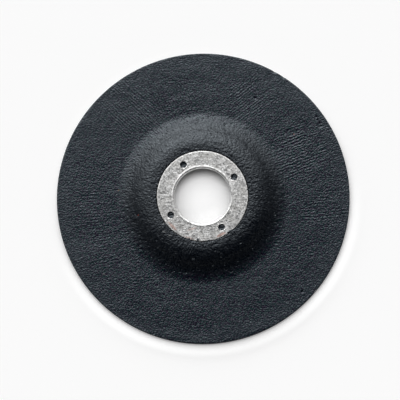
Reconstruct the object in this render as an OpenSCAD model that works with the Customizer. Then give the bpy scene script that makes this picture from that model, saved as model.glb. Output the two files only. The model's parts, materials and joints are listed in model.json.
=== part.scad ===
// Depressed centre cut-off wheel for an angle grinder, lying on its working face.
// The wheel is one moulded piece of resin-bonded abrasive. A stamped steel ring is moulded into
// its raised hub, lines the bore, and is keyed by abrasive that fills the ring's small holes.
// +Z is the bore axis and points out of the raised side. Z = 0 is the plane the rim lies on.

/* [Wheel] */
// Outside diameter of the wheel
wheel_d = 115; // [100:1:125]
// Thickness of the abrasive, measured square to its faces
abrasive_t = 2.5; // [2:0.1:3.2]
// Rounding of the rim's two outer edges
rim_round = 0.25; // [0.1:0.05:0.4]

/* [Raised hub] */
// Diameter of the hub's flat face, where the grinder's flange bears
hub_flat_d = 40; // [39:0.5:44]
// Height of the hub's faces above the rim's faces
hub_rise = 4.5; // [3.5:0.1:5.5]
// Radial width of the hub's rounded shoulder
shoulder_w = 6.5; // [5:0.1:8]
// Radial width of the rounded foot between the shoulder and the flat rim
foot_w = 7.8; // [6:0.1:9]
// Rounding of the bore's edge on the working side
bore_edge_round = 0.3; // [0.1:0.05:0.5]

/* [Arbor ring] */
// Bore that slips over the boss of the grinder's flange
bore_d = 22.23; // [20:0.01:24]
// Outside diameter of the ring's flange
ring_d = 35.6; // [34:0.1:37]
// Thickness of the ring's sheet steel
sheet_t = 0.5; // [0.3:0.05:0.6]
// Inside radius of the bend between the flange and the collar
bend_r = 0.3; // [0.2:0.05:0.5]
// Rounding of the flange's upper outer edge, from the punch
flange_edge_round = 0.12; // [0.05:0.01:0.15]
// Depth of the flange's face below the hub's face
ring_sink = 0.1; // [0.05:0.05:0.3]
// Distance that the collar stops short of the hub's working side
collar_short = 0.2; // [0.1:0.05:0.4]

/* [Keying holes] */
// Diameter of each small hole in the flange
key_hole_d = 2.5; // [1.5:0.1:3.5]
// Number of small holes, evenly spaced on the middle of the flange
key_hole_n = 4; // [3:1:6]
// Angle of the first hole from the X axis
key_hole_turn = 31; // [0:1:89]
// Depth of the abrasive in the holes below the flange's face
key_fill_depth = 0.15; // [0.05:0.05:0.25]

/* [Fits] */
// Width of the groove that the mould leaves round the flange
groove_w = 0.25; // [0.15:0.05:0.5]
// Rounding of the hub's edge at that groove
groove_round = 0.2; // [0.1:0.05:0.3]
// Clearance between the abrasive and the collar, and round the abrasive in the holes
moulded_gap = 0.02; // [0.01:0.01:0.05]

/* [Hidden] */
$fn = 128;

// Steps in a quarter turn of a rounding, and in each of the two long curves of the hub's side
round_steps = 5;
curve_steps = 12;

abrasive_colour = [0.20, 0.226, 0.25];
steel_colour = [0.69, 0.69, 0.68];

// Levels, from the plane that the rim lies on
rim_top_z = abrasive_t;
hub_under_z = hub_rise;
hub_top_z = hub_rise + abrasive_t;
ring_top_z = hub_top_z - ring_sink;
seat_z = ring_top_z - sheet_t;
collar_end_z = hub_under_z + collar_short;

// Radii of the hub's side: an arc for the shoulder runs tangent into an arc for the foot, and
// both faces of the abrasive share the arcs' centres, so its thickness stays the same
hub_flat_r = hub_flat_d / 2;
foot_r = hub_flat_r + shoulder_w + foot_w;
side_angle = 2 * atan(hub_rise / (shoulder_w + foot_w));
shoulder_arc_r = shoulder_w / sin(side_angle);
foot_arc_r = foot_w / sin(side_angle);
shoulder_centre = [hub_flat_r, hub_top_z - shoulder_arc_r];
foot_centre = [foot_r, rim_top_z + foot_arc_r];

// Radii round the bore
bore_r = bore_d / 2;
collar_r = bore_r + sheet_t;
bore_wall_r = collar_r + moulded_gap;
flange_r = ring_d / 2;
recess_r = flange_r + groove_w;
key_circle_r = (bore_r + flange_r) / 2;

// Points along an arc in the half section, from one angle to another
function arc(centre, radius, from, to, steps) =
    [for (i = [0:steps]) let (a = from + (to - from) * i / steps)
        centre + radius * [cos(a), sin(a)]];

// One face of the hub's side, from the flat hub outwards to the flat rim, at a depth below the
// raised face
function hub_side(depth) = concat(
    arc(shoulder_centre, shoulder_arc_r - depth, 90, 90 - side_angle, curve_steps),
    arc(foot_centre, foot_arc_r + depth, 270 - side_angle, 270, curve_steps));

function reversed(points) = [for (i = [len(points) - 1:-1:0]) points[i]];

// The seat in the hub: up the bore's wall, round under the ring's bend, out under its flange
// and up the groove to the hub's face
function ring_seat() = concat(
    arc([bore_wall_r + bore_edge_round, hub_under_z + bore_edge_round], bore_edge_round,
        270, 180, round_steps),
    arc([bore_wall_r + bend_r, seat_z - bend_r], bend_r, 180, 90, round_steps),
    [[recess_r, seat_z]],
    arc([recess_r + groove_round, hub_top_z - groove_round], groove_round,
        180, 90, round_steps));

// The rim's edge, from its raised face down to its working face
function rim_edge() = let (edge_r = wheel_d / 2 - rim_round) concat(
    arc([edge_r, rim_top_z - rim_round], rim_round, 90, 0, round_steps),
    arc([edge_r, rim_round], rim_round, 0, -90, round_steps));

// The abrasive that flowed into the ring's small holes, rooted a little below the seat
module key_plugs() {
    plug_top_z = ring_top_z - key_fill_depth;
    plug_root = abrasive_t / 4;
    for (i = [0:key_hole_n - 1])
        rotate(key_hole_turn + i * 360 / key_hole_n)
            translate([key_circle_r, 0, seat_z - plug_root])
                cylinder(d = key_hole_d - 2 * moulded_gap, h = plug_top_z - seat_z + plug_root);
}

module abrasive_wheel() {
    color(abrasive_colour) {
        rotate_extrude()
            polygon(concat(ring_seat(), hub_side(0), rim_edge(), reversed(hub_side(abrasive_t))));
        key_plugs();
    }
}

// The ring's section: a flat flange, a bend and a short collar, all of one thickness of sheet
function ring_section() = let (bend_centre = [collar_r + bend_r, seat_z - bend_r]) concat(
    [[bore_r, collar_end_z], [collar_r, collar_end_z]],
    arc(bend_centre, bend_r, 180, 90, round_steps),
    [[flange_r, seat_z]],
    arc([flange_r - flange_edge_round, ring_top_z - flange_edge_round], flange_edge_round,
        0, 90, round_steps),
    arc(bend_centre, bend_r + sheet_t, 90, 180, 2 * round_steps));

module arbor_ring() {
    color(steel_colour)
        difference() {
            rotate_extrude()
                polygon(ring_section());
            for (i = [0:key_hole_n - 1])
                rotate(key_hole_turn + i * 360 / key_hole_n)
                    translate([key_circle_r, 0, seat_z - sheet_t])
                        cylinder(d = key_hole_d, h = 3 * sheet_t);
        }
}

abrasive_wheel();
arbor_ring();
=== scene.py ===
# %% [markdown]
# # A depressed centre cut-off wheel
#
# This lesson dresses one abrasive wheel for an angle grinder. The real thing is two pieces: a
# thin disc of abrasive grain and black resin, pressed and baked in a mould that raises its
# middle into a hub, and a stamped steel ring that is moulded into the hub to line the bore.
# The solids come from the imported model. Here each is modelled again with a finer surface, and
# gets its finish from nodes, so that it looks like the wheel in the photograph.

import json
import math

import bpy
from mathutils import Matrix, Vector


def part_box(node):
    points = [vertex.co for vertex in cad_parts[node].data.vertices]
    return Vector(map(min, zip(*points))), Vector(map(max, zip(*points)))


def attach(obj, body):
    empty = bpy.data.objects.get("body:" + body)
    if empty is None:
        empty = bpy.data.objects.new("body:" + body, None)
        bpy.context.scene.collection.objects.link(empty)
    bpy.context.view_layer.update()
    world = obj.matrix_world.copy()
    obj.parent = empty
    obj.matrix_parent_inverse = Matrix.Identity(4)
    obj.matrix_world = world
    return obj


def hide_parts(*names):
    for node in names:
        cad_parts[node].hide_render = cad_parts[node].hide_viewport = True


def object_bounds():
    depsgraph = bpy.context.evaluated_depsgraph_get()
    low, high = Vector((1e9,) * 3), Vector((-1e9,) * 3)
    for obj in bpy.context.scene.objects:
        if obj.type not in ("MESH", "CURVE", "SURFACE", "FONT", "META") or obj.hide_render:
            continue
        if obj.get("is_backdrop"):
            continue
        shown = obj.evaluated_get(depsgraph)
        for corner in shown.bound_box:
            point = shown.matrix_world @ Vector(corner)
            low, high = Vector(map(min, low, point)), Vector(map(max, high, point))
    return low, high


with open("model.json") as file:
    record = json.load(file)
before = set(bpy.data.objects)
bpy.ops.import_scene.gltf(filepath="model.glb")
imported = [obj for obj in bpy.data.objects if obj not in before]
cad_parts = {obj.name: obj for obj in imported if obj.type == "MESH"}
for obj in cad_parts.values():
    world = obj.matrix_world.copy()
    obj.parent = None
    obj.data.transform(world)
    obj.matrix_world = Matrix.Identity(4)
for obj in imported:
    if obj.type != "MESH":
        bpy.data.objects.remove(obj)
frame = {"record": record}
cad_low, cad_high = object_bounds()
print("CAD box in mm:", [round(1000 * v, 2) for v in (*cad_low, *cad_high)])

# %% [markdown]
# ## Sizes
#
# Everything that the solids already fix is read from them: the wheel's diameter, the height
# of the hub, the ring's levels and the bore. What no box tells is said again: the widths of
# the hub's two curves, the ring's sheet and bend, and the small clearances. The shoulder
# starts 0.6 mm nearer the ring than in the solid, because the photograph's shading asks for a
# slope that falls at once, and it ends where the solid's does. Lengths are kept in
# millimetres, which such a wheel is drawn in, and one factor turns them into metres.

# %% Sizes in millimetres
MM = 0.001


def node_box_mm(node):
    """Lowest and highest corner of a solid, in millimetres."""
    low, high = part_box(node)
    return low / MM, high / MM


_, wheel_high = node_box_mm("abrasive_wheel")
ring_low, ring_high = node_box_mm("arbor_ring")
mounts = {mount["name"]: mount for mount in frame["record"]["mounts"]}

rim_r = wheel_high.x
hub_top_z = wheel_high.z
hub_under_z = mounts["nut_face"]["pos_m"][2] / MM
abrasive_t = hub_top_z - hub_under_z
bore_r = mounts["bore"]["dims"]["r_mm"]
flange_r = ring_high.x
ring_top_z = ring_high.z
collar_end_z = ring_low.z

hub_flat_r = 19.4
shoulder_w = 7.1
foot_w = 7.8
sheet_t = 0.5
bend_r = 0.3
groove_w = 0.25
moulded_gap = 0.02
print("rim radius", round(rim_r, 2), "hub top", round(hub_top_z, 2), "thickness", round(abrasive_t, 2))

# %% [markdown]
# ## The camera
#
# The photograph was taken from above, leaning back only eight degrees. The ring sits higher
# than the rim, so its centre appears a little above the centre of the wheel: that shift and the
# almost round outline fix the lean. The flat rim is nearly as bright on one side as on the
# other, which a camera close by wouldn't see, so it stands 0.9 m away with a long lens. The
# picture's up direction is the wheel's +Y, so the camera's three axes are worked out directly
# instead of being tracked to a target.

# %% Camera
CAMERA_DISTANCE = 0.9
CAMERA_LEAN = math.radians(8)
CAMERA_AZIMUTH = math.radians(15.9)
CAMERA_AIM = Vector((-1.22, -0.66, 0)) * MM
CAMERA_LENS = 205.9


def place_camera():
    """A camera that looks down at the wheel, with +Y up in the picture."""
    back = Vector((
        math.sin(CAMERA_AZIMUTH) * math.sin(CAMERA_LEAN),
        -math.cos(CAMERA_AZIMUTH) * math.sin(CAMERA_LEAN),
        math.cos(CAMERA_LEAN),
    ))
    right = Vector((0, 1, 0)).cross(back).normalized()
    up = back.cross(right)
    bpy.ops.object.camera_add()
    camera = bpy.context.object
    camera.name = "camera"
    camera.matrix_world = Matrix.LocRotScale(
        CAMERA_AIM + back * CAMERA_DISTANCE,
        Matrix((right, up, back)).transposed().to_quaternion(),
        None,
    )
    camera.data.lens = CAMERA_LENS
    bpy.context.scene.camera = camera
    return camera


camera = place_camera()
print("camera height in mm:", round(camera.matrix_world.translation.z / MM, 1))

# %% [markdown]
# ## Node helpers
#
# The finishes are built from nodes. These helpers keep each finish readable: one adds a node
# and fills its inputs with numbers or links, the others are the handful of steps that every
# finish uses. Patterns are laid out in millimetres, so the object's coordinates are scaled up
# once at the start.

# %% Node helpers
def put(tree, kind, values=None, **options):
    """Add a node, set its options, and fill its inputs with numbers or links."""
    node = tree.nodes.new("ShaderNode" + kind)
    for option, choice in options.items():
        setattr(node, option, choice)
    for socket, value in (values or {}).items():
        if isinstance(value, bpy.types.NodeSocket):
            tree.links.new(value, node.inputs[socket])
        else:
            node.inputs[socket].default_value = value
    return node


def maths(tree, operation, *values):
    """One step of arithmetic."""
    return put(tree, "Math", dict(enumerate(values)), operation=operation).outputs[0]


def place_in_mm(tree):
    """Object coordinates in millimetres."""
    place = put(tree, "TexCoord").outputs["Object"]
    return put(tree, "VectorMath", {0: place, "Scale": 1 / MM}, operation="SCALE").outputs[0]


def noise(tree, place, size, detail=2.0, roughness=0.5):
    """Soft noise whose lumps are about size millimetres across."""
    values = {"Vector": place, "Scale": 1 / size, "Detail": detail, "Roughness": roughness}
    return put(tree, "TexNoise", values).outputs[0]


def remap(tree, value, low, high, to_low, to_high):
    """Stretch a range of values onto another one, with soft ends."""
    values = {0: value, 1: low, 2: high, 3: to_low, 4: to_high}
    return put(tree, "MapRange", values, interpolation_type="SMOOTHSTEP").outputs[0]


def mix(tree, share, first, second):
    """Blend two colours."""
    return put(tree, "Mix", {0: share, 6: first, 7: second}, data_type="RGBA").outputs[2]


def rgb(red, green, blue):
    """A colour with full opacity."""
    return (red, green, blue, 1)


def stretched(tree, place, centre, turn, size):
    """Coordinates centred on a place, turned, and divided by a size along each axis."""
    values = {
        "Vector": place,
        "Location": (*centre, 0),
        "Rotation": (0, 0, math.radians(turn)),
        "Scale": (*size, 1),
    }
    return put(tree, "Mapping", values, vector_type="TEXTURE").outputs[0]


def flat_length(tree, place):
    """Distance from the middle of the coordinates, in plan."""
    plan = put(tree, "VectorMath", {0: place, 1: (1, 1, 0)}, operation="MULTIPLY").outputs[0]
    return put(tree, "VectorMath", {0: plan}, operation="LENGTH").outputs["Value"]


SPOT_RAG_SIZE = 0.7
SPOT_RAG = 0.9


def spot(tree, place, mark):
    """1 on a spot and 0 away from it, with a ragged edge."""
    local = stretched(tree, place, mark["place"], mark.get("turn", 0), mark["size"])
    rag = noise(tree, place, SPOT_RAG_SIZE, 3.0)
    ragged = maths(tree, "MULTIPLY_ADD", rag, SPOT_RAG, flat_length(tree, local))
    return remap(tree, ragged, 1.0, 1.5, 1.0, 0.0)


def finish(name, **constants):
    """A material, its node tree and its surface shader, with the constant sockets set."""
    material = bpy.data.materials.new(name)
    material.use_nodes = True
    tree = material.node_tree
    surface = tree.nodes["Principled BSDF"]
    for socket, value in constants.items():
        surface.inputs[socket.replace("_", " ")].default_value = value
    return material, tree, surface


def relief(tree, surface, height):
    """Light the surface as if it rose by height, in millimetres."""
    bump = put(tree, "Bump", {"Strength": 1.0, "Distance": MM, "Height": height})
    tree.links.new(bump.outputs[0], surface.inputs["Normal"])


print("scale of the patterns:", 1 / MM, "mm to the metre")

# %% [markdown]
# ## The light
#
# One large soft window stands a third of the way up from the horizon, a little to the left of
# the picture's top. Opposite the window the room is dark. That contrast draws the hub: its
# upper left side mirrors the window and its lower right side mirrors the dark room. Area
# lamps could do it, but one dome of light does all of it with a few math nodes: a bell curve
# of the angle from the window's middle, faded towards the horizon and darkened overhead,
# where the camera hides the ceiling. Low pale walls keep the far side from going black.

# %% The dome of light
WINDOW_ZENITH = math.radians(57)
WINDOW_AZIMUTH = math.radians(103.8)
WINDOW_SPREAD = math.radians(32)
WINDOW_LEVEL = 6.65
ROOM_LEVEL = 0.002

# Heights are the sine of the angle above the horizon
HORIZON_FADE = (0.05, 0.42)
HORIZON_SHARE = 0.25
OVERHEAD_FADE = (0.85, 0.995)
OVERHEAD_SHARE = 0.26
WALL_LEVEL = 0.42
WALL_TOP = 0.32


def along_direction(tree, place, direction):
    """How far a place lies along a direction."""
    values = {0: place, 1: direction}
    return put(tree, "VectorMath", values, operation="DOT_PRODUCT").outputs["Value"]


def light_dome():
    """World light that is brightest at the window and falls off smoothly round it."""
    world = bpy.data.worlds.new("window_light")
    bpy.context.scene.world = world
    world.use_nodes = True
    tree = world.node_tree
    window = (
        math.sin(WINDOW_ZENITH) * math.cos(WINDOW_AZIMUTH),
        math.sin(WINDOW_ZENITH) * math.sin(WINDOW_AZIMUTH),
        math.cos(WINDOW_ZENITH),
    )
    direction = put(tree, "TexCoord").outputs["Generated"]
    cosine = along_direction(tree, direction, window)
    angle = maths(tree, "DIVIDE", maths(tree, "ARCCOSINE", cosine), WINDOW_SPREAD)
    fall = maths(tree, "EXPONENT", maths(tree, "MULTIPLY", maths(tree, "POWER", angle, 2.0), -1.0))
    height = along_direction(tree, direction, (0, 0, 1))
    fall = maths(tree, "MULTIPLY", fall, remap(tree, height, *HORIZON_FADE, HORIZON_SHARE, 1.0))
    fall = maths(tree, "MULTIPLY", fall, remap(tree, height, *OVERHEAD_FADE, 1.0, OVERHEAD_SHARE))
    level = maths(tree, "MULTIPLY_ADD", fall, WINDOW_LEVEL, ROOM_LEVEL)
    level = maths(tree, "ADD", level, remap(tree, height, 0.0, WALL_TOP, WALL_LEVEL, 0.0))
    tree.links.new(level, tree.nodes["Background"].inputs["Strength"])
    tree.nodes["Background"].inputs["Color"].default_value = rgb(1, 1, 1)


light_dome()
bpy.context.scene.view_settings.view_transform = "Standard"
print("window level:", WINDOW_LEVEL, "wall level:", WALL_LEVEL)

# %% [markdown]
# ## The paper
#
# The wheel lies on a sheet of white paper. The paper glows a little for the camera and for
# reflections, as paper that is close to overexposed does in a photograph. Beyond that even glow,
# light is painted into the paper: the glow is stronger beside the rim on the side away from the
# window, where it lightens the rim's shadow, and under the bore it grows towards the window and
# almost ends where the ring shades the paper. That keeps the shadows as narrow as the
# photograph's without a second lamp, and the glow lights nothing by itself.

# %% Paper
PAPER_SIZE = 8
PAPER_DROP = 0.02
PAPER_WHITE = 0.93
PAPER_GLOW = 0.14

# Painted light: the glow under the bore and the fill beside the rim's shaded side
BORE_GLOW = 0.27
BORE_GLOW_RISE = 0.04
BORE_GLOW_LEAST = 0.1
BORE_SHADE_GLOW = 0.04
BORE_LIT_MIDDLE = (0.2, -2.1)
BORE_LIT_EDGE = (-2.2, 2.5)

RIM_FILL = 0.47
RIM_FILL_START = (-0.6, 1.0)
RIM_FILL_END = (1.0, 5.8)
SHADED_SIDE = (0.1, -1.0)


def bore_glow(tree, place, along):
    """Painted light on the paper under the bore: a glow, brighter towards the window."""
    rising = maths(tree, "MULTIPLY_ADD", along, BORE_GLOW_RISE, BORE_GLOW)
    filled = maths(tree, "MAXIMUM", rising, BORE_GLOW_LEAST)
    lit = flat_length(tree, stretched(tree, place, BORE_LIT_MIDDLE, 0, (1, 1)))
    lit = remap(tree, lit, *(bore_r + step for step in BORE_LIT_EDGE), 1.0, 0.0)
    return maths(tree, "MULTIPLY_ADD", filled, lit, BORE_SHADE_GLOW)


def paper_glow(tree):
    """The paper's glow: even outside, painted light by the rim's shaded side and in the bore."""
    place = place_in_mm(tree)
    towards = (math.cos(WINDOW_AZIMUTH), math.sin(WINDOW_AZIMUTH), 0)
    along = along_direction(tree, place, towards)
    radius = flat_length(tree, place)
    shaded_side = remap(tree, maths(tree, "DIVIDE", along, radius), *SHADED_SIDE, 0.0, 1.0)
    starts = remap(tree, radius, *(rim_r + step for step in RIM_FILL_START), 0.0, 1.0)
    ends = remap(tree, radius, *(rim_r + step for step in RIM_FILL_END), RIM_FILL, 0.0)
    close = maths(tree, "MULTIPLY", starts, ends)
    around = maths(tree, "MULTIPLY_ADD", shaded_side, close, PAPER_GLOW)
    outside = maths(tree, "GREATER_THAN", radius, hub_flat_r)
    values = {0: outside, 2: bore_glow(tree, place, along), 3: around}
    return put(tree, "Mix", values, data_type="FLOAT").outputs[0]


def lay_floor():
    """A wide sheet of white paper under the wheel."""
    bpy.ops.mesh.primitive_plane_add(size=PAPER_SIZE, location=(0, 0, -PAPER_DROP * MM))
    floor = bpy.context.object
    floor.name = "paper"
    paper, tree, surface = finish("white_paper", Roughness=1, Specular_IOR_Level=0)
    surface.inputs["Base Color"].default_value = rgb(PAPER_WHITE, PAPER_WHITE, PAPER_WHITE)
    surface.inputs["Emission Color"].default_value = rgb(1, 1, 1)
    ray = put(tree, "LightPath").outputs
    seen = maths(tree, "MAXIMUM", ray["Is Camera Ray"], ray["Is Glossy Ray"])
    seen = maths(tree, "MAXIMUM", seen, ray["Is Transmission Ray"])
    glow = maths(tree, "MULTIPLY", seen, paper_glow(tree))
    tree.links.new(glow, surface.inputs["Emission Strength"])
    floor.data.materials.append(paper)
    floor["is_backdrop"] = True


lay_floor()
print("paper white:", PAPER_WHITE, "glow:", PAPER_GLOW)

# %% [markdown]
# ## Modelling helpers
#
# Both pieces are round, and both are grown the way a potter raises a wall: a circle is
# extruded, lifted and widened row by row until it comes back to its start. The section is a
# list of radius and height pairs, with arcs worked out from a centre, and long straight runs
# are cut into rows of even width so that the surface can be roughened later.

# %% Helpers for round pieces
TINY = 1e-6
WELD = 0.001


def arc(centre, radius, start, end, steps):
    """Points of an arc in the half section, angles in degrees."""
    turns = [math.radians(start + (end - start) * i / steps) for i in range(steps + 1)]
    return [(centre[0] + radius * math.cos(t), centre[1] + radius * math.sin(t)) for t in turns]


def rows_along(points, spacing):
    """The same line with extra points, so that no step is longer than spacing."""
    rows = [points[0]]
    for (r0, z0), (r1, z1) in zip(points, points[1:]):
        pieces = max(1, math.ceil(math.hypot(r1 - r0, z1 - z0) / spacing - TINY))
        rows += [(r0 + (r1 - r0) * i / pieces, z0 + (z1 - z0) * i / pieces) for i in range(1, pieces + 1)]
    return rows


def grow_round(name, rows, segments):
    """A closed ring-shaped mesh, extruded row by row round the axis."""
    bpy.ops.object.select_all(action="DESELECT")
    radius, height = rows[0]
    bpy.ops.mesh.primitive_circle_add(vertices=segments, radius=radius * MM, location=(0, 0, height * MM))
    piece = bpy.context.object
    piece.name = name
    bpy.ops.object.transform_apply(location=True)
    bpy.context.tool_settings.mesh_select_mode = (True, False, False)
    bpy.ops.object.mode_set(mode="EDIT")
    bpy.ops.mesh.select_all(action="SELECT")
    for next_radius, next_height in rows[1:]:
        lift = (next_height - height) * MM
        widen = next_radius / radius
        bpy.ops.mesh.extrude_region_move(TRANSFORM_OT_translate={"value": (0, 0, lift)})
        bpy.ops.transform.resize(value=(widen, widen, 1), center_override=(0, 0, 0))
        radius, height = next_radius, next_height
    bpy.ops.mesh.select_all(action="SELECT")
    bpy.ops.mesh.remove_doubles(threshold=WELD * MM)
    bpy.ops.mesh.normals_make_consistent(inside=False)
    bpy.ops.object.mode_set(mode="OBJECT")
    return piece


print("rows of a 10 mm line, 3 mm apart at most:", len(rows_along([(0, 0), (10, 0)], 3)))

# %% [markdown]
# ## The abrasive wheel
#
# The real wheel is a charge of grain and resin pressed between two steel dies. The dies give
# it one thickness all over, so the underside of the hub follows the upper side: both sides of
# each curve are arcs about the same centre. The rim's edges are only just rounded.

# %% Grow the wheel
SEGMENTS = 600
TOP_SPACING = 0.45
EDGE_SPACING = 0.7
UNDER_SPACING = 1.8
SEAT_SPACING = 2.5
ROUND_STEPS = 4
BEND_STEPS = 3
TOP_CURVE_STEPS = 20
UNDER_CURVE_STEPS = 8

side_angle = math.degrees(2 * math.atan((hub_top_z - abrasive_t) / (shoulder_w + foot_w)))
shoulder_arc_r = shoulder_w / math.sin(math.radians(side_angle))
foot_arc_r = foot_w / math.sin(math.radians(side_angle))
shoulder_centre = (hub_flat_r, hub_top_z - shoulder_arc_r)
foot_centre = (hub_flat_r + shoulder_w + foot_w, abrasive_t + foot_arc_r)
seat_z = ring_top_z - sheet_t
bore_wall_r = bore_r + sheet_t + moulded_gap
recess_r = flange_r + groove_w
rim_round = 0.25
groove_round = 0.2
bore_round = 0.3


def hub_side(depth, steps):
    """The curve from the hub's flat top to the flat rim, at a depth below the raised face."""
    return (arc(shoulder_centre, shoulder_arc_r - depth, 90, 90 - side_angle, steps)
            + arc(foot_centre, foot_arc_r + depth, 270 - side_angle, 270, steps)[1:])


def wheel_rows():
    """The wheel's half section, from the bore's lower edge round and back to it."""
    lower_edge = (bore_wall_r + bore_round, hub_under_z + bore_round)
    seat = (arc(lower_edge, bore_round, 270, 180, ROUND_STEPS)
            + arc((bore_wall_r + bend_r, seat_z - bend_r), bend_r, 180, 90, BEND_STEPS)
            + [(recess_r, seat_z)])
    groove_middle = (recess_r + groove_round, hub_top_z - groove_round)
    groove = arc(groove_middle, groove_round, 180, 90, ROUND_STEPS)
    raised = groove[-1:] + hub_side(0, TOP_CURVE_STEPS)
    edge = (arc((rim_r - rim_round, abrasive_t - rim_round), rim_round, 90, 0, ROUND_STEPS)
            + arc((rim_r - rim_round, rim_round), rim_round, 0, -90, ROUND_STEPS))
    under = list(reversed(hub_side(abrasive_t, UNDER_CURVE_STEPS)))
    rows = rows_along(seat, SEAT_SPACING) + groove[:-1]
    rows += rows_along(raised + edge[:1], TOP_SPACING)
    rows += rows_along(edge, EDGE_SPACING)[1:]
    rows += rows_along([edge[-1]] + under + [seat[0]], UNDER_SPACING)[1:]
    return rows


wheel = grow_round("abrasive_wheel_body", wheel_rows(), SEGMENTS)
print("wheel vertices:", len(wheel.data.vertices))

# %% [markdown]
# ## An uneven moulded face
#
# A baked resin face is never dead flat: the grain under it makes it swell and sink by a few
# hundredths of a millimetre. Two Displace modifiers with cloud textures do that, a wide one and
# a fine one, limited to the raised face by a vertex group that fades out at the rim's edge and
# at the ring. Sculpting would do as well, but the modifiers give the same result every time.

# %% Raise and sink the face
FADE = 0.8
WEIGHT_STEPS = 8
WIDE_LUMPS = {"lump_mm": 9.0, "height_mm": 0.22}
FINE_LUMPS = {"lump_mm": 2.2, "height_mm": 0.07}


def pick_face_weights(piece, group_name):
    """Weight 1 on the raised face, fading to 0 at the groove and at the rim's edge."""
    group = piece.vertex_groups.new(name=group_name)
    inner, outer = recess_r + groove_round, rim_r - rim_round
    for level in range(1, WEIGHT_STEPS + 1):
        chosen = []
        for vertex in piece.data.vertices:
            radius = math.hypot(vertex.co.x, vertex.co.y) / MM
            weight = min(1, (radius - inner) / FADE, (outer - radius) / FADE)
            on_top = vertex.normal.z > 0.5 and vertex.co.z / MM > abrasive_t - 0.1
            if on_top and round(WEIGHT_STEPS * weight) == level:
                chosen.append(vertex.index)
        group.add(chosen, level / WEIGHT_STEPS, "REPLACE")


def unevenness(piece, group_name, lump_mm, height_mm):
    """Displace the weighted face up and down by a cloud texture, then apply it."""
    clouds = bpy.data.textures.new("lumps_" + str(lump_mm), "CLOUDS")
    clouds.noise_scale = lump_mm * MM
    clouds.noise_depth = 1
    bpy.context.view_layer.objects.active = piece
    modifier = piece.modifiers.new("lumps", "DISPLACE")
    modifier.texture = clouds
    modifier.texture_coords = "LOCAL"
    modifier.direction = "Z"
    modifier.vertex_group = group_name
    modifier.strength = height_mm * MM
    modifier.mid_level = 0.5
    bpy.ops.object.modifier_apply(modifier=modifier.name)


pick_face_weights(wheel, "raised_face")
unevenness(wheel, "raised_face", **WIDE_LUMPS)
unevenness(wheel, "raised_face", **FINE_LUMPS)
top = max(vertex.co.z for vertex in wheel.data.vertices) / MM
print("highest point after the lumps, in mm:", round(top, 3))

# %% [markdown]
# ## Nicks, pits and creases
#
# This wheel has been handled. Its edge is nicked twice near the top right and flattened at the
# lower right, and the face has two pits and a short crease. Each is a small push of one vertex
# and its neighbours with proportional editing, the way a dent is made by hand, and the crease
# is four such pushes in a row.

# %% Dents
DENTS = (
    {"name": "edge nick", "place": (28.3, 50.0), "push": (-0.12, -0.2, -0.6), "reach": 0.8},
    {"name": "second edge nick", "place": (31.8, 48.0), "push": (-0.1, -0.16, -0.5), "reach": 0.7},
    {"name": "flattened edge", "place": (44.1, -36.9), "push": (-0.2, 0.16, 0.0), "reach": 1.6},
    {"name": "upper pit", "place": (20.6, 39.4), "push": (0, 0, -0.8), "reach": 0.6},
    {"name": "lower pit", "place": (38.6, -37.1), "push": (0, 0, -0.8), "reach": 0.6},
    {"name": "crease top", "place": (44.9, 31.6), "push": (0, 0, -0.6), "reach": 0.6},
    {"name": "crease upper part", "place": (45.3, 30.5), "push": (0, 0, -0.7), "reach": 0.6},
    {"name": "crease lower part", "place": (45.8, 29.4), "push": (0, 0, -0.7), "reach": 0.6},
    {"name": "crease end", "place": (46.2, 28.3), "push": (0, 0, -0.5), "reach": 0.6},
)


def dent(piece, mark):
    """Push the nearest vertex of the raised side, with its neighbours in proportion."""
    place = Vector((*mark["place"], abrasive_t)) * MM
    bpy.context.view_layer.objects.active = piece
    bpy.ops.object.mode_set(mode="EDIT")
    bpy.ops.mesh.select_all(action="DESELECT")
    bpy.ops.object.mode_set(mode="OBJECT")
    nearest = min(piece.data.vertices, key=lambda vertex: (vertex.co - place).length_squared)
    nearest.select = True
    bpy.ops.object.mode_set(mode="EDIT")
    bpy.ops.transform.translate(
        value=Vector(mark["push"]) * MM,
        use_proportional_edit=True,
        proportional_edit_falloff="SMOOTH",
        proportional_size=mark["reach"] * MM,
    )
    bpy.ops.object.mode_set(mode="OBJECT")


bpy.context.tool_settings.mesh_select_mode = (True, False, False)
for mark in DENTS:
    dent(wheel, mark)
print("dents:", len(DENTS))

# %% [markdown]
# ## Abrasive in the ring's holes
#
# While the wheel is pressed, abrasive flows up into the four small holes of the ring and keys
# it. Each filling is a short plug whose top sinks a little in the middle, made by insets that
# are pushed down. A few crumbs of squeezed resin lie over the ring's edge as well. They are
# balls, flattened and made lumpy. All are one piece with the wheel, so they are joined to it.

# %% Plugs and crumbs
HOLE_R = 1.25
HOLE_TURN = math.radians(31)
HOLE_COUNT = 4
FILL_DEPTH = 0.15
PLUG_ROOT = 0.6
PLUG_SIDES = 48
PLUG_INSETS = (0.15, 0.35, 0.35)
PLUG_SINK = 0.06
hole_circle_r = (bore_r + flange_r) / 2
plug_top_z = ring_top_z - FILL_DEPTH


def hole_place(index, height):
    """Middle of a keying hole at a height, in metres."""
    turn = HOLE_TURN + index * 2 * math.pi / HOLE_COUNT
    return Vector((hole_circle_r * math.cos(turn), hole_circle_r * math.sin(turn), height)) * MM


def faces_where(piece, test):
    """Select the faces for which the test on centre and normal holds, in edit mode."""
    bpy.context.view_layer.objects.active = piece
    bpy.context.tool_settings.mesh_select_mode = (False, False, True)
    bpy.ops.object.mode_set(mode="EDIT")
    bpy.ops.mesh.select_all(action="DESELECT")
    bpy.ops.object.mode_set(mode="OBJECT")
    for face in piece.data.polygons:
        face.select = test(face.center, face.normal)
    bpy.ops.object.mode_set(mode="EDIT")


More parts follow.
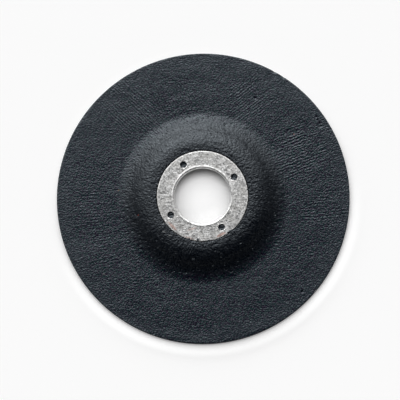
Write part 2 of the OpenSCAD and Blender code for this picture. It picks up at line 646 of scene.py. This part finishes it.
def hole_plug(index):
    """A short round filling with a sunken top."""
    root_z = seat_z - PLUG_ROOT
    bpy.ops.object.select_all(action="DESELECT")
    bpy.ops.mesh.primitive_cylinder_add(
        vertices=PLUG_SIDES,
        radius=(HOLE_R - moulded_gap) * MM,
        depth=(plug_top_z - root_z) * MM,
        location=hole_place(index, (plug_top_z + root_z) / 2),
    )
    plug = bpy.context.object
    bpy.ops.object.transform_apply(location=True)
    faces_where(plug, lambda centre, normal: normal.z > 0.9)
    for inset in PLUG_INSETS:
        bpy.ops.mesh.inset(thickness=inset * MM)
        bpy.ops.transform.translate(value=(0, 0, -PLUG_SINK * MM))
    bpy.ops.object.mode_set(mode="OBJECT")
    return plug


CRUMBS = (
    {"name": "flash over the edge", "place": (10.5, -14.1), "size": (1.1, 0.45, 0.1), "turn": 35},
    {"name": "flash beside it", "place": (11.5, -13.6), "size": (0.6, 0.3, 0.08), "turn": 50},
    {"name": "black crumb", "place": (-1.8, -17.2), "size": (0.5, 0.4, 0.1), "turn": 80},
    {"name": "crumb over the groove", "place": (-5.2, -16.95), "size": (0.55, 0.4, 0.1), "turn": 160},
    {"name": "long crumb over the groove", "place": (2.4, -17.5), "size": (0.8, 0.3, 0.1), "turn": 10},
    {"name": "crumb at the right", "place": (17.6, 2.6), "size": (0.5, 0.25, 0.08), "turn": 80},
)


CRUMB_LUMP_SIZE = 0.5
CRUMB_LUMP_HEIGHT = 0.3


def resin_crumb(mark):
    """A flat drop of resin that has set on the ring's edge."""
    bpy.ops.object.select_all(action="DESELECT")
    bpy.ops.mesh.primitive_ico_sphere_add(subdivisions=3, radius=MM)
    crumb = bpy.context.object
    crumb.scale = mark["size"]
    crumb.rotation_euler = (0, 0, math.radians(mark["turn"]))
    crumb.location = Vector((*mark["place"], ring_top_z)) * MM
    bpy.ops.object.transform_apply(location=True, rotation=True, scale=True)
    lumps = bpy.data.textures.new("crumb_lumps", "CLOUDS")
    lumps.noise_scale = CRUMB_LUMP_SIZE * MM
    modifier = crumb.modifiers.new("lumps", "DISPLACE")
    modifier.texture = lumps
    modifier.texture_coords = "LOCAL"
    modifier.strength = CRUMB_LUMP_HEIGHT * MM
    modifier.mid_level = 0.5
    bpy.ops.object.modifier_apply(modifier=modifier.name)
    return crumb


def join_to(piece, extras):
    """Join the extra meshes to a piece."""
    bpy.ops.object.select_all(action="DESELECT")
    for extra in extras:
        extra.select_set(True)
    piece.select_set(True)
    bpy.context.view_layer.objects.active = piece
    bpy.ops.object.join()


plugs = [hole_plug(index) for index in range(HOLE_COUNT)]
crumbs = [resin_crumb(mark) for mark in CRUMBS]
join_to(wheel, plugs + crumbs)
wheel.data.calc_loop_triangles()
print("wheel triangles:", len(wheel.data.loop_triangles))

# %% [markdown]
# ## The print of the paper in the resin
#
# The raised face is covered by a layer of resin that took the print of the backing paper: a
# fine leathery grain all over, coarser wrinkles on the hub, and patches of parallel ripples
# about a millimetre apart where the paper was drawn tight. All of it is far too fine to model,
# so it is a height for a Bump node. Each ripple patch is a wave texture, turned to its
# direction, broken up by noise and faded out by distance.

# %% Relief of the resin
RIPPLES = (
    {"name": "right", "place": (38, 17.5), "turn": 21, "size": (20, 16), "pitch": 1.1, "height": 0.074},
    {"name": "lower left", "place": (-36, -20), "turn": 15, "size": (20, 13), "pitch": 1.2, "height": 0.038},
    {"name": "left", "place": (-44, -4), "turn": 2, "size": (14, 12), "pitch": 1.2, "height": 0.04},
    {"name": "top", "place": (-13, 41), "turn": 115, "size": (18, 14), "pitch": 1.0, "height": 0.12},
    {"name": "upper left", "place": (-29, 35), "turn": 137, "size": (18, 14), "pitch": 1.0, "height": 0.12},
    {"name": "upper right", "place": (18, 39), "turn": 38, "size": (15, 12), "pitch": 1.0, "height": 0.062},
    {"name": "right edge", "place": (47, -4), "turn": 5, "size": (14, 10), "pitch": 1.2, "height": 0.055},
)
LEATHER_SIZE, LEATHER_HEIGHT = 0.64, 0.20
PORE_SIZE, PORE_HEIGHT = 0.38, 0.10
WRINKLE_SIZE, WRINKLE_HEIGHT = 1.3, 0.30
WRINKLE_FADE = (30.0, 34.0)
PIT_SIZE, PIT_DEPTH = 1.3, 0.12
RIPPLE_BREAK_SIZE = 1.6
WAVE_PER_MM = math.pi / 10


def ripple_height(tree, place, patch):
    """Ripples of one patch, broken up and faded out towards its edge."""
    local = stretched(tree, place, patch["place"], patch["turn"], (1, 1))
    wave_values = {
        "Vector": local,
        "Scale": WAVE_PER_MM / patch["pitch"],
        "Distortion": 3.5,
        "Detail": 2.0,
        "Detail Scale": 1.6,
    }
    wave = put(tree, "TexWave", wave_values, bands_direction="Y").outputs[1]
    drawn_out = stretched(tree, local, (0, 0), 0, (3, 1))
    broken = remap(tree, noise(tree, drawn_out, RIPPLE_BREAK_SIZE), 0.38, 0.6, 0.15, 1.0)
    edge = flat_length(tree, stretched(tree, place, patch["place"], patch["turn"], patch["size"]))
    faded = remap(tree, edge, 0.35, 1.0, patch["height"], 0.0)
    return maths(tree, "MULTIPLY", maths(tree, "MULTIPLY", wave, broken), faded)


def resin_height(tree, place, radius):
    """Leathery grain, the hub's wrinkles, ripple patches and pits, in millimetres."""
    height = maths(tree, "MULTIPLY", noise(tree, place, LEATHER_SIZE, 1.0, 0.6), LEATHER_HEIGHT)
    height = maths(tree, "MULTIPLY_ADD", noise(tree, place, PORE_SIZE, 1.0), PORE_HEIGHT, height)
    on_hub = remap(tree, radius, *WRINKLE_FADE, WRINKLE_HEIGHT, 0.0)
    wrinkles = maths(tree, "MULTIPLY", noise(tree, place, WRINKLE_SIZE, 2.0, 0.6), on_hub)
    height = maths(tree, "ADD", height, wrinkles)
    for patch in RIPPLES:
        height = maths(tree, "ADD", height, ripple_height(tree, place, patch))
    pits = remap(tree, noise(tree, place, PIT_SIZE, 1.0), 0.26, 0.35, -PIT_DEPTH, 0.0)
    return maths(tree, "ADD", height, pits)


print("ripple patches:", len(RIPPLES))

# %% [markdown]
# ## The colour of the resin
#
# The resin is almost black. Beyond the hub a thin film lies on it, with a teal or a plum tint
# from place to place and a few pale dots, and the outermost few millimetres are paler in
# patches. Single specks of rust, grit and scuffs are placed one by one, because noise would
# scatter them anywhere.

# %% Colour of the resin
FLECKS = (
    {"name": "red speck", "place": (-25.2, -7.2), "size": (0.35, 0.3), "colour": rgb(0.16, 0.03, 0.02)},
    {"name": "tan fleck", "place": (-33.1, 3.0), "size": (0.45, 0.3), "colour": rgb(0.12, 0.085, 0.05)},
    {"name": "rusty speck", "place": (35.9, 24.9), "size": (0.45, 0.3), "colour": rgb(0.13, 0.045, 0.04)},
    {"name": "pale fleck", "place": (37.5, -20.1), "size": (0.5, 0.25), "turn": 40,
     "colour": rgb(0.13, 0.13, 0.13)},
    {"name": "pale chip", "place": (-23.9, -31.7), "size": (0.45, 0.3), "colour": rgb(0.1, 0.1, 0.1)},
    {"name": "scuff by the ring", "place": (-15.0, -14.0), "size": (0.8, 0.3), "turn": -20,
     "colour": rgb(0.14, 0.14, 0.14)},
    {"name": "second scuff by the ring", "place": (-12.8, -15.5), "size": (0.7, 0.3), "turn": 15,
     "colour": rgb(0.14, 0.14, 0.14)},
    {"name": "third scuff by the ring", "place": (-15.3, -10.9), "size": (0.5, 0.25), "turn": 50,
     "colour": rgb(0.12, 0.12, 0.12)},
    {"name": "pale edge chip", "place": (-38.7, -30.0), "size": (0.5, 0.3), "colour": rgb(0.1, 0.1, 0.1)},
)
RESIN = rgb(0.0003, 0.0014, 0.0042)
FILM = rgb(0.0006, 0.0028, 0.0070)
FILM_TEAL = rgb(0.0, 0.0150, 0.0160)
FILM_PLUM = rgb(0.0075, 0.0008, 0.0130)
FILM_DOT = rgb(0.12, 0.12, 0.12)
RESIN_PALE_EDGE = rgb(0.0120, 0.0165, 0.0230)
FILM_FADE = (28.0, 35.0)
TINT_SIZE = 0.85
DOT_SIZE = 0.5
PALE_EDGE_FADE = (51.5, 57.0)
PALE_PATCH_SIZE, PALE_PATCH_REACH = 2.2, 4.0
PALE_MOTTLE_SIZE = 0.7


def film_colour(tree, place):
    """The film's colour, tinted and dotted."""
    tint = noise(tree, place, TINT_SIZE, 3.0, 0.7)
    film = mix(tree, remap(tree, tint, 0.505, 0.555, 0.0, 1.0), FILM, FILM_TEAL)
    film = mix(tree, remap(tree, tint, 0.495, 0.445, 0.0, 1.0), film, FILM_PLUM)
    dots = remap(tree, noise(tree, place, DOT_SIZE, 1.0), 0.72, 0.77, 0.0, 0.5)
    return mix(tree, dots, film, FILM_DOT)


def resin_colour(tree, place, radius):
    """Resin on the hub, film on the flat rim, paler patches at the edge, and the flecks."""
    on_rim = remap(tree, radius, *FILM_FADE, 0.0, 1.0)
    colour = mix(tree, on_rim, RESIN, film_colour(tree, place))
    # Paler towards the outer edge, in patches
    patches = noise(tree, place, PALE_PATCH_SIZE, 3.0, 0.65)
    reach = maths(tree, "MULTIPLY_ADD", patches, PALE_PATCH_REACH, radius)
    paler_edge = remap(tree, reach, *PALE_EDGE_FADE, 0.0, 0.8)
    pale_mottle = remap(tree, noise(tree, place, PALE_MOTTLE_SIZE, 3.0, 0.7), 0.35, 0.65, 0.2, 1.0)
    colour = mix(tree, maths(tree, "MULTIPLY", paler_edge, pale_mottle), colour, RESIN_PALE_EDGE)
    for mark in FLECKS:
        colour = mix(tree, spot(tree, place, mark), colour, mark["colour"])
    return colour


print("flecks:", len(FLECKS))

# %% [markdown]
# ## The gloss of the resin
#
# On so dark a surface nearly all that is seen is gloss, so its roughness matters more than its
# colour. It changes from grain to grain, which gives the rim its sparkle, and the flat rim is
# glossier than the hub. The reflection is slightly blue.

# %% Black resin
RESIN_SHEEN = rgb(0.84, 0.93, 1.0)
GLOSS_SIZE = 0.6
ROUGHNESS_RANGE = (0.24, 0.43)
RIM_FADE = (30.0, 35.0)
RIM_ROUGHNESS = -0.15


def black_resin():
    """Glossy black resin with the print of the paper and a paler outer band."""
    material, tree, surface = finish("black_resin", Specular_IOR_Level=0.56, Specular_Tint=RESIN_SHEEN)
    place = place_in_mm(tree)
    radius = flat_length(tree, place)
    relief(tree, surface, resin_height(tree, place, radius))
    tree.links.new(resin_colour(tree, place, radius), surface.inputs["Base Color"])
    grains = noise(tree, place, GLOSS_SIZE, 1.0, 0.6)
    roughness = remap(tree, grains, 0.36, 0.64, *ROUGHNESS_RANGE)
    roughness = maths(tree, "ADD", roughness, remap(tree, radius, *RIM_FADE, 0.0, RIM_ROUGHNESS))
    tree.links.new(roughness, surface.inputs["Roughness"])
    return material


resin = black_resin()
print("resin nodes:", len(resin.node_tree.nodes))

# %% [markdown]
# ## Bare abrasive
#
# The edge, the working side and the bore show the abrasive itself: brown-black grains in
# resin, dull, with the weave of the glass mesh printed through on the working side. The weave
# is two wave textures at right angles, and the grains are the cells of a Voronoi texture. A few
# cells get a painted highlight, a pale colour for grains catching the light.

# %% Bare abrasive
MESH_PITCH = 2.8
MESH_TURN = 20
MESH_HEIGHT = 0.10
MESH_WOBBLE = 1.2
MESH_WOBBLE_SCALE = 0.12
GRAIN_SIZE = 0.45
GRAIN_HEIGHT = 0.08
ABRASIVE_DARK = rgb(0.011, 0.0105, 0.0105)
ABRASIVE_BROWN = rgb(0.032, 0.026, 0.022)
ABRASIVE_GLINT = rgb(0.15, 0.135, 0.12)
MESH_COLOUR = rgb(0.024, 0.024, 0.026)


def glass_weave(tree, place):
    """1 on the printed threads of the mesh and 0 between them."""
    wobble = put(tree, "TexNoise", {"Vector": place, "Scale": MESH_WOBBLE_SCALE}).outputs[1]
    wobble = put(tree, "VectorMath", {0: wobble, "Scale": MESH_WOBBLE}, operation="SCALE").outputs[0]
    cloth = put(tree, "VectorMath", {0: place, 1: wobble}, operation="ADD").outputs[0]
    cloth = stretched(tree, cloth, (0, 0), MESH_TURN, (1, 1))
    threads = []
    for direction in ("X", "Y"):
        values = {"Vector": cloth, "Scale": WAVE_PER_MM / MESH_PITCH}
        wave = put(tree, "TexWave", values, bands_direction=direction).outputs[1]
        threads.append(remap(tree, wave, 0.45, 0.8, 0.0, 1.0))
    return maths(tree, "MAXIMUM", *threads)


def bare_abrasive():
    """Dull grain and resin with the print of the glass mesh."""
    material, tree, surface = finish("bare_abrasive", Specular_IOR_Level=0.4)
    place = place_in_mm(tree)
    weave = glass_weave(tree, place)
    cells = put(tree, "TexVoronoi", {"Vector": place, "Scale": 1 / GRAIN_SIZE})
    grains = remap(tree, cells.outputs["Distance"], 0.1, 0.7, 1.0, 0.0)
    grains = maths(tree, "MULTIPLY", grains, GRAIN_HEIGHT)
    relief(tree, surface, maths(tree, "MULTIPLY_ADD", weave, MESH_HEIGHT, grains))
    chance = put(tree, "SeparateColor", {0: cells.outputs["Color"]}).outputs[0]
    brown = remap(tree, chance, 0.2, 1.0, 0.0, 1.0)
    colour = mix(tree, brown, ABRASIVE_DARK, ABRASIVE_BROWN)
    # Painted highlight: a few cells pale, as grains catching the light
    colour = mix(tree, remap(tree, chance, 0.93, 0.97, 0.0, 0.7), colour, ABRASIVE_GLINT)
    colour = mix(tree, remap(tree, weave, 0.0, 1.0, 0.0, 0.55), colour, MESH_COLOUR)
    tree.links.new(colour, surface.inputs["Base Color"])
    dull = remap(tree, noise(tree, place, 0.8, 2.0), 0.3, 0.7, 0.5, 0.8)
    tree.links.new(dull, surface.inputs["Roughness"])
    return material


abrasive = bare_abrasive()
print("bare abrasive nodes:", len(abrasive.node_tree.nodes))

# %% [markdown]
# ## The wheel's two finishes
#
# The mould covers only the raised face with resin, and trimming the disc bares its edge. So
# the wheel has two material slots: all faces start as resin, and the faces of the edge, of the
# working side and of the seat under the ring are picked by place and normal and given the
# abrasive. Then the wheel rides on its body and stands for its solid.

# %% Give the wheel its two finishes
SMOOTH_ANGLE = math.radians(40)
wheel.data.materials.clear()
wheel.data.materials.append(resin)
wheel.data.materials.append(abrasive)


def shows_bare_abrasive(centre, normal):
    """The rim's edge, the working side and the seat under the ring."""
    radius = math.hypot(centre.x, centre.y) / MM
    at_edge = radius > rim_r - 0.6 * rim_round and normal.z < 0.4
    below = normal.z < -0.2
    in_seat = radius < recess_r and centre.z / MM <= seat_z + 0.05
    return at_edge or below or in_seat


faces_where(wheel, shows_bare_abrasive)
wheel.active_material_index = 1
bpy.ops.object.material_slot_assign()
bpy.ops.mesh.select_all(action="DESELECT")
bpy.ops.object.mode_set(mode="OBJECT")
bpy.ops.object.select_all(action="DESELECT")
wheel.select_set(True)
bpy.ops.object.shade_smooth_by_angle(angle=SMOOTH_ANGLE)
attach(wheel, "root")
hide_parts("abrasive_wheel")
bare = sum(face.material_index for face in wheel.data.polygons)
print("faces of bare abrasive:", bare, "of", len(wheel.data.polygons))

# %% [markdown]
# ## The arbor ring
#
# The ring is stamped from half-millimetre steel in one stroke: a flat flange, a bend and a
# short collar. It is grown like the wheel, from the same section as the solid, with the faint
# lip that the die leaves round the bore.

# %% Grow the ring
RING_SEGMENTS = 360
RING_TOP_SPACING = 0.5
RING_UNDER_SPACING = 1.0
LIP_R = bore_r + 0.54
LIP_HEIGHT = 0.10
LIP_SLOPE = ((0.5, 0.0), (0.25, 0.6), (0.0, 1.0))
EDGE_ROUND = 0.38
EDGE_STEPS = 8
PUNCH_ROUND = 0.12
COLLAR_CHAMFER = 0.06


def ring_rows():
    """The ring's half section, from the collar's end up, over the bend and back."""
    collar_r = bore_r + sheet_t
    bend = (collar_r + bend_r, seat_z - bend_r)
    lower = ([(bore_r + COLLAR_CHAMFER, collar_end_z), (collar_r - COLLAR_CHAMFER, collar_end_z),
              (collar_r, collar_end_z + COLLAR_CHAMFER)]
             + arc(bend, bend_r, 180, 90, ROUND_STEPS))
    punched = (flange_r - PUNCH_ROUND, ring_top_z - PUNCH_ROUND)
    lip = [(LIP_R + away, ring_top_z + share * LIP_HEIGHT) for away, share in LIP_SLOPE]
    flange = arc(punched, PUNCH_ROUND, 0, 90, ROUND_STEPS) + lip[:1]
    over_middle = (bore_r + EDGE_ROUND, ring_top_z + 0.8 * LIP_HEIGHT - EDGE_ROUND)
    over = arc(over_middle, EDGE_ROUND, 85, 180, EDGE_STEPS)
    rows = lower + rows_along([lower[-1], (flange_r, seat_z)], RING_UNDER_SPACING)[1:]
    rows += rows_along(flange, RING_TOP_SPACING) + lip[1:] + over
    rows += [(bore_r, collar_end_z + COLLAR_CHAMFER), (bore_r + COLLAR_CHAMFER, collar_end_z)]
    return rows


ring = grow_round("arbor_ring_stamping", ring_rows(), RING_SEGMENTS)
print("ring vertices before the holes:", len(ring.data.vertices))

# %% [markdown]
# ## The keying holes
#
# Four small holes are punched through the flange, where the abrasive keys the ring. They are
# cut with one Boolean, because the four cutters are joined first. Their upper edges are then
# found by their distance from each hole's middle and bevelled, since the punch draws the sheet
# in a little there.

# %% Punch the holes
CUTTER_SIDES = 40
HOLE_ROUND = 0.2
ROUND_SEGMENTS = 3
NEAR = 0.01


def hole_cutters():
    """Four joined cylinders where the keying holes go."""
    cutters = []
    for index in range(HOLE_COUNT):
        bpy.ops.object.select_all(action="DESELECT")
        bpy.ops.mesh.primitive_cylinder_add(
            vertices=CUTTER_SIDES,
            radius=HOLE_R * MM,
            depth=3 * sheet_t * MM,
            location=hole_place(index, ring_top_z - sheet_t / 2),
        )
        cutters.append(bpy.context.object)
    join_to(cutters[0], cutters[1:])
    bpy.ops.object.transform_apply(location=True)
    return cutters[0]


def punch_holes(piece):
    """Cut the keying holes and remove the cutters."""
    cutters = hole_cutters()
    bpy.ops.object.select_all(action="DESELECT")
    bpy.context.view_layer.objects.active = piece
    piece.select_set(True)
    modifier = piece.modifiers.new("holes", "BOOLEAN")
    modifier.object = cutters
    modifier.operation = "DIFFERENCE"
    modifier.solver = "EXACT"
    bpy.ops.object.modifier_apply(modifier=modifier.name)
    bpy.data.objects.remove(cutters)


def round_hole_edges(piece, width):
    """Bevel the upper edge of each hole."""
    bpy.context.tool_settings.mesh_select_mode = (False, True, False)
    bpy.ops.object.mode_set(mode="EDIT")
    bpy.ops.mesh.select_all(action="DESELECT")
    bpy.ops.object.mode_set(mode="OBJECT")
    middles = [hole_place(index, ring_top_z) for index in range(HOLE_COUNT)]
    chosen = 0
    for edge in piece.data.edges:
        ends = [piece.data.vertices[i].co for i in edge.vertices]
        edge.select = any(
            all(abs((end - middle).length - HOLE_R * MM) < NEAR * MM for end in ends)
            for middle in middles
        )
        chosen += edge.select
    bpy.ops.object.mode_set(mode="EDIT")
    bpy.ops.mesh.bevel(offset=width * MM, segments=ROUND_SEGMENTS)
    bpy.ops.object.mode_set(mode="OBJECT")
    return chosen


punch_holes(ring)
print("hole edges bevelled:", round_hole_edges(ring, HOLE_ROUND))
ring.data.calc_loop_triangles()
print("ring triangles:", len(ring.data.loop_triangles))

# %% [markdown]
# ## The colour of the worn ring
#
# The ring's zinc-grey steel is mottled. Resin fumes and handling have left soft grey stains,
# and there are small dark pits, pinkish rust stains at the outer edge and under the lip, and
# a few single spots. The lip of the bore, the rims of the holes and the outer edge get painted
# highlights, a pale colour. Noise makes what is scattered, and the stains are placed one by one.

# %% Colour of the ring
STAINS = (
    {"name": "left rust", "place": (-11.8, -11.8), "size": (2.9, 0.6), "turn": 135,
     "colour": rgb(0.50, 0.34, 0.30)},
    {"name": "lower left rust", "place": (-5.2, -16.6), "size": (2.8, 0.45), "turn": 163,
     "colour": rgb(0.48, 0.35, 0.31)},
    {"name": "lower rust", "place": (7.3, -15.2), "size": (2.3, 0.6), "turn": 26,
     "colour": rgb(0.50, 0.31, 0.26)},
    {"name": "rust under the lip", "place": (-4.2, -13.0), "size": (2.4, 0.5), "turn": 20,
     "colour": rgb(0.50, 0.40, 0.37)},
    {"name": "dark spot", "place": (-4.8, -12.3), "size": (0.35, 0.3), "colour": rgb(0.06, 0.055, 0.05)},
    {"name": "dark dot", "place": (-7.3, 9.95), "size": (0.22, 0.2), "colour": rgb(0.05, 0.05, 0.05)},
    {"name": "edge spot", "place": (-16.3, -1.5), "size": (0.4, 0.3), "colour": rgb(0.16, 0.15, 0.14)},
    {"name": "top spot", "place": (-0.6, 15.6), "size": (0.45, 0.25), "colour": rgb(0.22, 0.2, 0.18)},
    {"name": "bright nick", "place": (-4.6, -13.4), "size": (0.35, 0.2), "turn": 30,
     "colour": rgb(0.9, 0.9, 0.88)},
)
MOTTLE_DARK = rgb(0.31, 0.31, 0.31)
MOTTLE_PALE = rgb(0.76, 0.76, 0.755)
MOTTLE_FINE_SIZE, MOTTLE_FINE_SHARE = 0.75, 0.62
MOTTLE_WIDE_SIZE, MOTTLE_WIDE_SHARE = 2.2, 0.38
SMUDGE = rgb(0.52, 0.51, 0.49)
SMUDGE_SIZE = 3.5
STEEL_PIT = rgb(0.10, 0.10, 0.10)
STEEL_PIT_SIZE = 0.62
STAIN_SHARE = 0.75
# Painted highlights: a pale colour on the bore's lip, the holes' rims and the outer edge
RIM_HIGHLIGHT = rgb(0.90, 0.90, 0.89)
RIM_HIGHLIGHT_LIP = (0.3, 0.75)
RIM_HIGHLIGHT_HOLE = (1.15, 1.42)
EDGE_HIGHLIGHT = rgb(0.74, 0.74, 0.73)
EDGE_HIGHLIGHT_BAND = (-0.5, -0.2)


def highlit_edges(tree, place, radius):
    """1 on the bore's lip and the holes' rims, where highlights are painted, 0 elsewhere."""
    highlit = remap(tree, radius, *(LIP_R + step for step in RIM_HIGHLIGHT_LIP), 1.0, 0.0)
    for index in range(HOLE_COUNT):
        middle = hole_place(index, ring_top_z) / MM
        local = stretched(tree, place, middle.xy, 0, (HOLE_R, HOLE_R))
        rim = remap(tree, flat_length(tree, local), *RIM_HIGHLIGHT_HOLE, 1.0, 0.0)
        highlit = maths(tree, "MAXIMUM", highlit, rim)
    return maths(tree, "MULTIPLY", highlit, remap(tree, noise(tree, place, 1.4), 0.3, 0.6, 0.25, 1.0))


def steel_pits(tree, place):
    """1 in the steel's small pits."""
    return remap(tree, noise(tree, place, STEEL_PIT_SIZE, 1.0), 0.64, 0.70, 0.0, 0.85)


def steel_colour(tree, place, radius, pits, highlit):
    """Mottle, smudges, pits, stains, and painted highlights on the rims and the outer edge."""
    wide = noise(tree, place, MOTTLE_WIDE_SIZE, 3.0, 0.6)
    wide = maths(tree, "MULTIPLY", wide, MOTTLE_WIDE_SHARE)
    fine = noise(tree, place, MOTTLE_FINE_SIZE, 2.0, 0.6)
    mottle = maths(tree, "MULTIPLY_ADD", fine, MOTTLE_FINE_SHARE, wide)
    colour = mix(tree, remap(tree, mottle, 0.37, 0.61, 0.0, 1.0), MOTTLE_DARK, MOTTLE_PALE)
    smudge = remap(tree, noise(tree, place, SMUDGE_SIZE, 2.0), 0.42, 0.65, 0.0, 0.45)
    colour = mix(tree, smudge, colour, SMUDGE)
    colour = mix(tree, pits, colour, STEEL_PIT)
    for mark in STAINS:
        share = maths(tree, "MULTIPLY", spot(tree, place, mark), STAIN_SHARE)
        colour = mix(tree, share, colour, mark["colour"])
    # Painted highlight on the bore's lip and the holes' rims
    colour = mix(tree, highlit, colour, RIM_HIGHLIGHT)
    # Painted highlight along the outer edge
    edge_highlight = remap(tree, radius, *(flange_r + step for step in EDGE_HIGHLIGHT_BAND), 0.0, 0.85)
    return mix(tree, edge_highlight, colour, EDGE_HIGHLIGHT)


print("stains:", len(STAINS))

# %% [markdown]
# ## Ring steel
#
# The sheet's surface is slightly lumpy, with the pits sunk in and a few scratches that all run
# one way, from the press. Near the lip it is smoother. The rims with painted highlights are
# also glossier, so the same pattern that paints them pale lowers the roughness.

# %% Ring steel
STEEL_ROUGHNESS = (0.32, 0.54)
STEEL_WEAR_SIZE = 1.1
RIM_HIGHLIGHT_GLOSS = -0.08
STEEL_LUMP_SIZE, STEEL_LUMP_HEIGHT = 0.8, 0.09
SCRATCH_TURN = 35
SCRATCH_STRETCH = (9, 0.35)
SCRATCH_SIZE, SCRATCH_DEPTH = 0.6, 0.02
STEEL_PIT_DEPTH = 0.04
SMOOTH_WIDTH = 0.8


def steel_height(tree, place, radius, pits):
    """Lumps, scratches and pits, in millimetres, almost flat at the lip."""
    lumps = noise(tree, place, STEEL_LUMP_SIZE, 2.0, 0.6)
    lumps = maths(tree, "MULTIPLY", lumps, STEEL_LUMP_HEIGHT)
    drawn_out = stretched(tree, place, (0, 0), SCRATCH_TURN, SCRATCH_STRETCH)
    scratch = noise(tree, drawn_out, SCRATCH_SIZE, 1.0)
    lumps = maths(tree, "ADD", lumps, remap(tree, scratch, 0.66, 0.72, 0.0, -SCRATCH_DEPTH))
    lumps = maths(tree, "ADD", lumps, maths(tree, "MULTIPLY", pits, -STEEL_PIT_DEPTH))
    flat_part = remap(tree, radius, LIP_R, LIP_R + SMOOTH_WIDTH, 0.15, 1.0)
    return maths(tree, "MULTIPLY", lumps, flat_part)


def ring_steel():
    """Mottled, lumpy sheet steel with stains, pits, scratches and painted highlights on its rims."""
    material, tree, surface = finish("ring_steel", Metallic=1.0)
    place = place_in_mm(tree)
    radius = flat_length(tree, place)
    pits = steel_pits(tree, place)
    highlit = highlit_edges(tree, place, radius)
    colour = steel_colour(tree, place, radius, pits, highlit)
    tree.links.new(colour, surface.inputs["Base Color"])
    worn = remap(tree, noise(tree, place, STEEL_WEAR_SIZE, 4.0, 0.6), 0.3, 0.7, *STEEL_ROUGHNESS)
    worn = maths(tree, "MULTIPLY_ADD", highlit, RIM_HIGHLIGHT_GLOSS, worn)
    tree.links.new(worn, surface.inputs["Roughness"])
    relief(tree, surface, steel_height(tree, place, radius, pits))
    return material


ring.data.materials.clear()
ring.data.materials.append(ring_steel())
bpy.ops.object.select_all(action="DESELECT")
ring.select_set(True)
bpy.context.view_layer.objects.active = ring
bpy.ops.object.shade_smooth_by_angle(angle=SMOOTH_ANGLE)
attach(ring, "root")
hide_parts("arbor_ring")
bpy.ops.object.select_all(action="DESELECT")
print("ring finish:", ring.active_material.name, "with", len(ring.active_material.node_tree.nodes), "nodes")

# %% [markdown]
# ## The size at the end
#
# The dressed wheel must keep the size of its solids, so the growth of its box over the
# solids' box is printed.

# %% Growth of the box
low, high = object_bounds()
growth = [round((a - b) / MM, 3) for a, b in zip((*high, *cad_low), (*cad_high, *low))]
print("growth of the box in mm, high side and low side:", growth)
